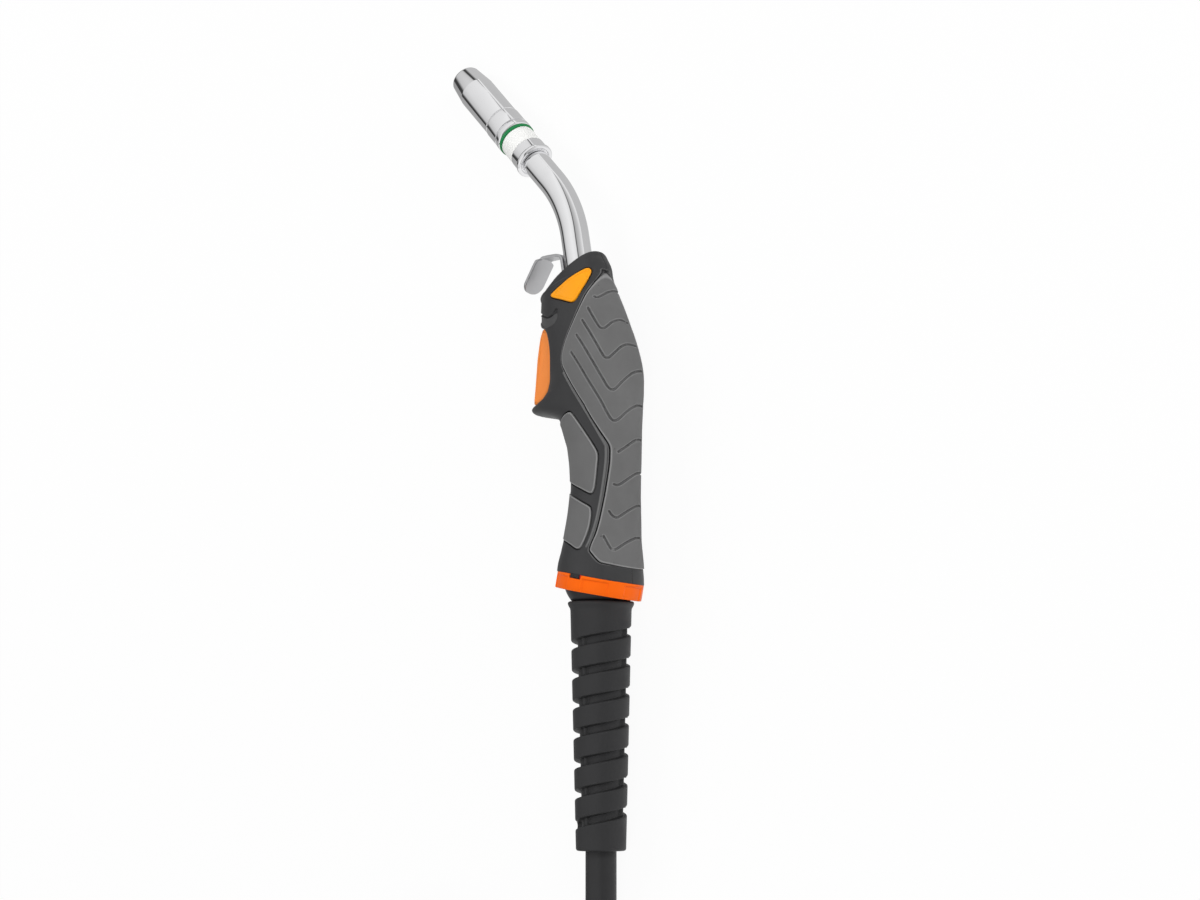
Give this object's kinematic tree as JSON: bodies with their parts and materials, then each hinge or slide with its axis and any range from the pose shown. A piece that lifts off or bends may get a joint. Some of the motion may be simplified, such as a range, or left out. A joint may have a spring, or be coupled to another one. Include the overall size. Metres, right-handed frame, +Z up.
{
  "type": "mig welding torch",
  "caption": "Hand-held arc welding torch with a swivelling pistol handle, trigger, bent neck, gas nozzle, spiral bend relief and coiled power cable.",
  "frame": {"origin": "bench under the middle of the torch, the cord left out", "axes": "+Z up from the bench, +X along the handle towards the nozzle, +Y towards the trigger side"},
  "size_m": [0.7201, 0.2241, 0.045],
  "materials": {
    "shell_plastic": "fine spark texture",
    "grip_rubber": "matte soft moulding",
    "badge_plastic": "satin",
    "steel": "plain",
    "chrome_plate": "bright plated",
    "copper_alloy": "plain copper",
    "ceramic_white": "smooth white",
    "marker_green": "smooth",
    "brass_alloy": "turned",
    "hook_steel": "zinc plated",
    "cable_jacket": "smooth jacket",
    "inner_plastic": "moulded",
    "trigger_plastic": "satin",
    "button_plastic": "smooth",
    "wire_jacket": "smooth",
    "ball_plastic": "smooth",
    "relief_rubber": "matte",
    "seal_rubber": "smooth",
    "gold_plate": "plated"
  },
  "bodies": {
    "cable_assembly": {"bend_relief": "relief_rubber", "cable": "cable_jacket", "cable_coil": "cable_jacket", "cable_tail": "cable_jacket", "coil_ties": "inner_plastic", "plug_relief": "relief_rubber", "plug_shell_left": "inner_plastic", "plug_shell_right": "inner_plastic", "plug_screws": "steel", "plug_body": "brass_alloy", "gas_nipple": "brass_alloy", "gas_seals": "seal_rubber"},
    "swivel": {"swivel_ball": "ball_plastic"},
    "handle": {"handle_shell_near": "shell_plastic", "handle_shell_far": "shell_plastic", "back_grip": "grip_rubber", "front_grip_upper": "grip_rubber", "front_grip_lower": "grip_rubber", "badge_panel": "badge_plastic", "shell_screws": "steel", "swan_neck": "chrome_plate", "neck_inner_tube": "copper_alloy", "neck_collar": "chrome_plate", "insulator_ring": "ceramic_white", "marker_ring": "marker_green", "tip_holder": "brass_alloy", "contact_tip": "copper_alloy", "nozzle_spring": "steel", "hanging_hook": "hook_steel", "neck_block": "brass_alloy", "cable_fitting": "brass_alloy", "handle_cable": "cable_jacket", "trigger_carrier": "inner_plastic", "trigger_pin": "steel", "microswitch": "inner_plastic", "switch_wires": "wire_jacket", "ball_seat": "inner_plastic"},
    "trigger": {"trigger": "trigger_plastic"},
    "button": {"switch_button": "button_plastic"},
    "ring": {"lock_ring": "trigger_plastic"},
    "nozzle": {"gas_nozzle": "chrome_plate"},
    "nut": {"union_nut": "inner_plastic"},
    "pin_upper": {"control_pin_upper": "gold_plate"},
    "pin_lower": {"control_pin_lower": "gold_plate"}
  },
  "joints": [
    {"name": "swivel_spin", "type": "hinge", "parent": "cable_assembly", "child": "swivel", "pos_m": [-0.131, -0.03856, 0.02147], "axis": [-0.9968, 0.0441, -0.0661], "continuous": true},
    {"name": "handle_tilt", "type": "hinge", "parent": "swivel", "child": "handle", "pos_m": [-0.131, -0.03856, 0.02147], "axis": [0, 0.1426, 0.9898], "range_deg": [0, 20]},
    {"name": "trigger_pull", "type": "hinge", "parent": "handle", "child": "trigger", "pos_m": [-0.0065, -0.01431, 0.01798], "axis": [0, 0.1426, 0.9898], "range_deg": [0, 6], "stiffness_Nm_per_rad": 1.2, "springref_deg": -4.58},
    {"name": "switch_press", "type": "slide", "parent": "handle", "child": "button", "axis": [0, -0.9898, 0.1426], "range_m": [0, 0.00194]},
    {"name": "lock_ring_turn", "type": "hinge", "parent": "handle", "child": "ring", "pos_m": [-0.13519, -0.0376, 0.02133], "axis": [0.9744, -0.2227, 0.0321], "range_deg": [0, 30]},
    {"name": "nozzle_pull", "type": "slide", "parent": "handle", "child": "nozzle", "axis": [0.7314, 0.675, -0.0973], "range_m": [0, 0.06]},
    {"name": "union_nut_spin", "type": "hinge", "parent": "cable_assembly", "child": "nut", "pos_m": [-0.5505, -0.02896, 0.02255], "axis": [-1, 0, 0], "continuous": true},
    {"name": "pin_upper_press", "type": "slide", "parent": "cable_assembly", "child": "pin_upper", "axis": [1, 0, 0], "range_m": [0, 0.002], "stiffness_N_per_m": 400, "springref_m": -0.001},
    {"name": "pin_lower_press", "type": "slide", "parent": "cable_assembly", "child": "pin_lower", "axis": [1, 0, 0], "range_m": [0, 0.002], "stiffness_N_per_m": 400, "springref_m": -0.001}
  ],
  "couplings": [
    {"joint": "switch_press", "follows": "trigger_pull", "m_per_rad": 0.0185}
  ]
}
